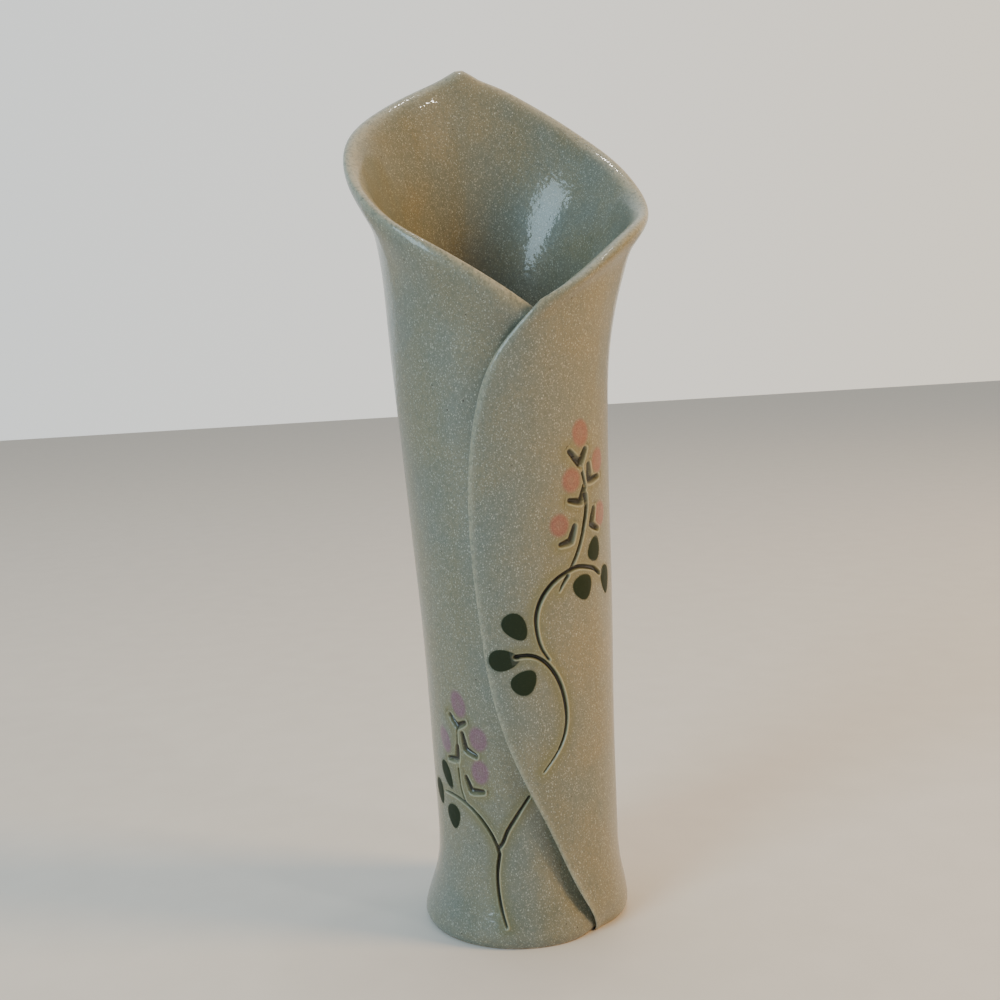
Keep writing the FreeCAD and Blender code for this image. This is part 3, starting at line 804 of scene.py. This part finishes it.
CLAY_GREY = (0.130, 0.142, 0.114, 1)
CLAY_WARM = (0.168, 0.153, 0.097, 1)
CLAY_DARK = (0.100, 0.108, 0.080, 1)
CLAY_PALE = (0.56, 0.55, 0.45, 1)
IRON = (0.035, 0.026, 0.016, 1)
STONEWARE = (0.27, 0.19, 0.12, 1)
STONEWARE_PALE = (0.42, 0.32, 0.22, 1)
FOOT_WIPED = 0.6           # the glaze is wiped off below this height, mm
OLIVE_GREY = (0.140, 0.124, 0.066, 1)
# pale tan of the glaze over the lip, also the painted highlight along the lap's edge
LIP_TAN_AND_EDGE_HIGHLIGHT = (0.36, 0.335, 0.235, 1)
OLIVE = (0.130, 0.118, 0.040, 1)
# dark glaze in the cuts, also the painted shadow inside the calyx marks
INK_AND_SHADE = (0.006, 0.006, 0.004, 1)
# pale of the glaze breaking over a ridge, also used as a painted highlight on its lit side
RIDGE_PALE_AND_HIGHLIGHT = (0.42, 0.42, 0.29, 1)
LEAF = (0.011, 0.019, 0.007, 1)
LEAF_PALE = (0.022, 0.034, 0.014, 1)


def glaze(name, pink, pink_deep, shine=0.40, coat=0.65):
    """Satin speckled glaze over stoneware, bare at the foot, with the sprays' painted layers, a painted
    highlight on ridges and along the lap's edge, and painted shadow in the calyx marks.
    """
    n = Nodes(name)
    where = n.add("ShaderNodeTexCoord").outputs["Object"]
    stretch = n.add("ShaderNodeMapping")
    n.set(stretch, "Vector", where)
    n.set(stretch, "Scale", (1.0, 1.0, 0.72))
    grainy = stretch.outputs[0]
    streaks = n.add("ShaderNodeMapping")
    n.set(streaks, "Vector", where)
    n.set(streaks, "Scale", (1.0, 1.0, 0.12))
    clouds = n.noise(where, 26.0, 4.0, 0.55)
    grain = n.noise(grainy, 0.9, 3.0, 0.6)
    fine = n.noise(grainy, 0.33, 2.0, 0.6)
    body = n.mix(n.ramp(clouds, 0.36, 0.66), CLAY_GREY, CLAY_WARM)
    bands = n.noise(streaks.outputs[0], 9.0, 3.0, 0.55)
    body = n.tint(body, n.ramp(bands, 0.46, 0.70), 0.50, OLIVE_GREY)
    body = n.tint(body, n.ramp(grain, 0.56, 0.34), 0.52, CLAY_DARK)
    small = n.specks(grainy, 0.55, 0.16, 0.44, 0.75)
    large = n.specks(grainy, 1.15, 0.10, 0.24, 0.45)
    body = n.tint(body, small, 0.38, CLAY_PALE)
    body = n.tint(body, large, 0.42, CLAY_PALE)
    body = n.tint(body, n.ramp(fine, 0.54, 0.76), 0.42, CLAY_PALE)
    iron = n.specks(where, 3.6, 0.04, 0.11, 0.40)
    body = n.tint(body, iron, 0.8, IRON)
    # the lip's pale tan glaze, and the painted highlight along the lap's edge
    lip = n.math("MULTIPLY", n.paint("lip"), n.ramp(grain, 0.20, 0.62))
    body = n.tint(body, lip, 0.66, LIP_TAN_AND_EDGE_HIGHLIGHT)
    pool = n.ramp(n.math("ADD", n.paint("halo"), n.math("MULTIPLY", grain, 0.25)), 0.15, 1.40)
    body = n.tint(body, pool, 0.70, OLIVE)
    petal = n.mix(n.ramp(fine, 0.35, 0.70), pink_deep, pink)
    rosy = n.math("MULTIPLY", n.paint("pink"), n.ramp(grain, 0.10, 0.42))
    body = n.tint(body, rosy, 0.92, petal)
    green = n.tint(LEAF, n.ramp(fine, 0.52, 0.80), 0.6, LEAF_PALE)
    body = n.mix(n.paint("leaf"), body, green)
    # pale ridges: glaze breaking pale, plus a painted highlight on the lit side
    body = n.tint(body, n.paint("ridge"), 0.55, RIDGE_PALE_AND_HIGHLIGHT)
    # dark glaze in the cuts, with painted shadow on the shaded side of the calyx marks
    body = n.mix(n.paint("ink"), body, INK_AND_SHADE)
    apart = n.add("ShaderNodeSeparateXYZ")
    n.set(apart, 0, where)
    bare = n.ramp(apart.outputs[2], FOOT_WIPED * MM, FOOT_WIPED * MM / 3)
    body = n.mix(bare, body, n.mix(n.ramp(grain, 0.35, 0.65), STONEWARE, STONEWARE_PALE))
    shader = n.add("ShaderNodeBsdfPrincipled")
    n.set(shader, "Base Color", body)
    roughness = n.math("MULTIPLY_ADD", clouds, 0.12, 0.32)
    roughness = n.math("MULTIPLY_ADD", n.paint("leaf"), 0.30, roughness)
    n.set(shader, "Roughness", n.math("MULTIPLY_ADD", bare, 0.45, roughness))
    n.set(shader, "Specular IOR Level", shine)
    n.set(shader, "Coat Weight", n.math("MULTIPLY_ADD", bare, -coat, coat))
    n.set(shader, "Coat Roughness", 0.05)
    swell = n.noise(where, 2.1, 2.0, 0.5)
    relief = n.math("MULTIPLY_ADD", grain, 0.16, n.math("MULTIPLY", small, 0.05))
    relief = n.math("MULTIPLY_ADD", swell, 2.1, relief)
    bump = n.add("ShaderNodeBump")
    n.set(bump, "Height", relief)
    n.set(bump, "Distance", 0.10 * MM)
    n.set(bump, "Strength", 0.55)
    n.set(shader, "Normal", bump.outputs[0])
    n.set(shader, "Coat Normal", bump.outputs[0])
    out = n.add("ShaderNodeOutputMaterial")
    n.set(out, 0, shader.outputs[0])
    return n.material


def table_top():
    """Plain pale matt floor."""
    n = Nodes("pale_table")
    where = n.add("ShaderNodeTexCoord").outputs["Object"]
    body = n.mix(n.noise(where, 18.0, 4.0), (0.60, 0.57, 0.53, 1), (0.66, 0.63, 0.59, 1))
    shader = n.add("ShaderNodeBsdfPrincipled")
    n.set(shader, "Base Color", body)
    n.set(shader, "Roughness", 0.75)
    out = n.add("ShaderNodeOutputMaterial")
    n.set(out, 0, shader.outputs[0])
    return n.material


# ---- the pieces --------------------------------------------------------------------------------

MAUVE_PINK = ((0.215, 0.108, 0.148, 1), (0.130, 0.058, 0.086, 1))
ROSE_PINK = ((0.250, 0.100, 0.076, 1), (0.155, 0.056, 0.042, 1))
MAUVE = glaze("speckled_glaze_lower", *MAUVE_PINK)
ROSE = glaze("speckled_glaze", *ROSE_PINK)
LEAF_GREEN = glaze("leaf_glaze", *ROSE_PINK, shine=0.16, coat=0.18)


def finish_piece(obj, material, node):
    """A piece's material, body and slot, and hiding the CAD node that it stands for."""
    obj.data.materials.append(material)
    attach(obj, "root")
    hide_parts(node)


wall = make_wall()
finish_piece(wall, ROSE, "wall_slab")

for number, stroke in enumerate(STROKES):
    spots, rows, columns = strip(stroke)
    patch = make_patch(stroke.name + "_glaze", spots, rows, columns, PATCH_LIFT + PATCH_STAGGER * number)
    finish_piece(patch, ROSE if "upper" in stroke.name else MAUVE, stroke.name)

for number, (name, shape) in enumerate(list(PETALS.items()) + list(LEAVES.items())):
    petal = name in PETALS
    spots, rows, columns = disc(shape, PETAL_MARGIN if petal else LEAF_MARGIN)
    lift = PATCH_LIFT + PATCH_STAGGER * (number - OVALS_UNDER)
    patch = make_patch(name + "_glaze", spots, rows, columns, lift)
    if petal:
        finish_piece(patch, ROSE if "upper" in name else MAUVE, name)
    else:
        finish_piece(patch, LEAF_GREEN, name)

for node in ("floor_disc", "floor_seam_coil"):
    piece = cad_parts[node]
    piece.data.materials.clear()
    piece.data.materials.append(ROSE)

REACH = 3.0                # of the floor, in metres
FLOOR = link("table_top", bpy.data.meshes.new("table_top"))
CORNERS = [(x * REACH, y * REACH, 0) for x, y in ((-1, -1), (1, -1), (1, 1), (-1, 1))]
FLOOR.data.from_pydata(CORNERS, [], [(0, 1, 2, 3)])
FLOOR.data.materials.append(table_top())


# ---- light and camera --------------------------------------------------------------------------

MIDDLE = Vector((0.0, 0.0, CAD_HIGH.z / 2))


def lamp(name, place, size, power, colour, glossy=True):
    """A soft box aimed at the middle of the vase, seen in reflections only if glossy."""
    data = bpy.data.lights.new(name, "AREA")
    data.shape = "RECTANGLE"
    data.size, data.size_y = size
    data.energy = power
    data.color = colour
    obj = link(name, data)
    obj.location = place
    obj.rotation_euler = (MIDDLE - Vector(place)).to_track_quat("-Z", "Y").to_euler()
    obj.visible_glossy = glossy


lamp("cool_window", (-1.5, -0.95, 0.84), (0.66, 1.15), 19.0, (0.62, 0.86, 1.0))
lamp("cool_room", (-1.45, -1.0, 0.75), (0.8, 0.8), 11.0, (0.50, 0.80, 1.0), glossy=False)
lamp("warm_room", (1.42, -0.72, 0.75), (0.45, 0.7), 38.0, (1.0, 0.63, 0.27), glossy=False)
lamp("small_lamp", (0.67, -0.89, 1.14), (0.07, 0.07), 2.0, (1.0, 0.93, 0.82))
lamp("ceiling_lamp", (0.23, 0.16, 1.9), (0.09, 0.09), 2.0, (1.0, 0.95, 0.88))
lamp("soft_top", (0.1, 0.1, 1.9), (1.2, 1.2), 5.0, (1.0, 0.97, 0.92), glossy=False)

# The room: its colour runs from cool on the left to warm on the right, dim in front, bright behind
WORLD = bpy.data.worlds.new("room")
bpy.context.scene.world = WORLD
WORLD.use_nodes = True
tree = WORLD.node_tree
back = tree.nodes["Background"]
toward = tree.nodes.new("ShaderNodeSeparateXYZ")
tree.links.new(tree.nodes.new("ShaderNodeTexCoord").outputs["Generated"], toward.inputs[0])
sides = tree.nodes.new("ShaderNodeValToRGB")
sides.color_ramp.elements[0].color = (0.58, 0.71, 0.79, 1)
sides.color_ramp.elements[1].color = (1.0, 0.84, 0.64, 1)
for position, colour in ((0.36, (0.86, 0.92, 0.94, 1)), (0.62, (1.0, 0.98, 0.91, 1)),
                         (0.80, (1.0, 0.91, 0.76, 1))):
    sides.color_ramp.elements.new(position).color = colour
across = tree.nodes.new("ShaderNodeMapRange")
across.inputs[1].default_value = -1.0
tree.links.new(toward.outputs[0], across.inputs[0])
tree.links.new(across.outputs[0], sides.inputs[0])
tree.links.new(sides.outputs[0], back.inputs[0])
depth = tree.nodes.new("ShaderNodeMapRange")
depth.interpolation_type = "SMOOTHSTEP"
depth.inputs[1].default_value = -0.45
depth.inputs[2].default_value = 0.75
depth.inputs[3].default_value = 0.24
depth.inputs[4].default_value = 1.18
tree.links.new(toward.outputs[1], depth.inputs[0])
tree.links.new(depth.outputs[0], back.inputs[1])

CAMERA_PLACE = Vector((-0.099084, -0.363189, 0.173244))
CAMERA_TURN = 15.0         # the camera looks this far to the right of straight on
CAMERA_PITCH = 6.9
CAMERA_ROLL = 2.69
CAMERA_LENS = 45.36

turn, pitch, roll = (math.radians(v) for v in (CAMERA_TURN, CAMERA_PITCH, CAMERA_ROLL))
forward = Vector((math.sin(turn) * math.cos(pitch), math.cos(turn) * math.cos(pitch), -math.sin(pitch)))
level = Vector((math.cos(turn), -math.sin(turn), 0))
upright = level.cross(forward)
up = upright * math.cos(roll) + level * math.sin(roll)
right = forward.cross(up)
camera = link("camera", bpy.data.cameras.new("camera"))
camera.data.sensor_width = 36.0
camera.data.lens = CAMERA_LENS
camera.data.clip_start = 0.01
camera.data.clip_end = 20.0
camera.matrix_world = Matrix((right, up, -forward)).transposed().to_4x4()
camera.location = CAMERA_PLACE
bpy.context.scene.camera = camera

bpy.context.view_layer.update()
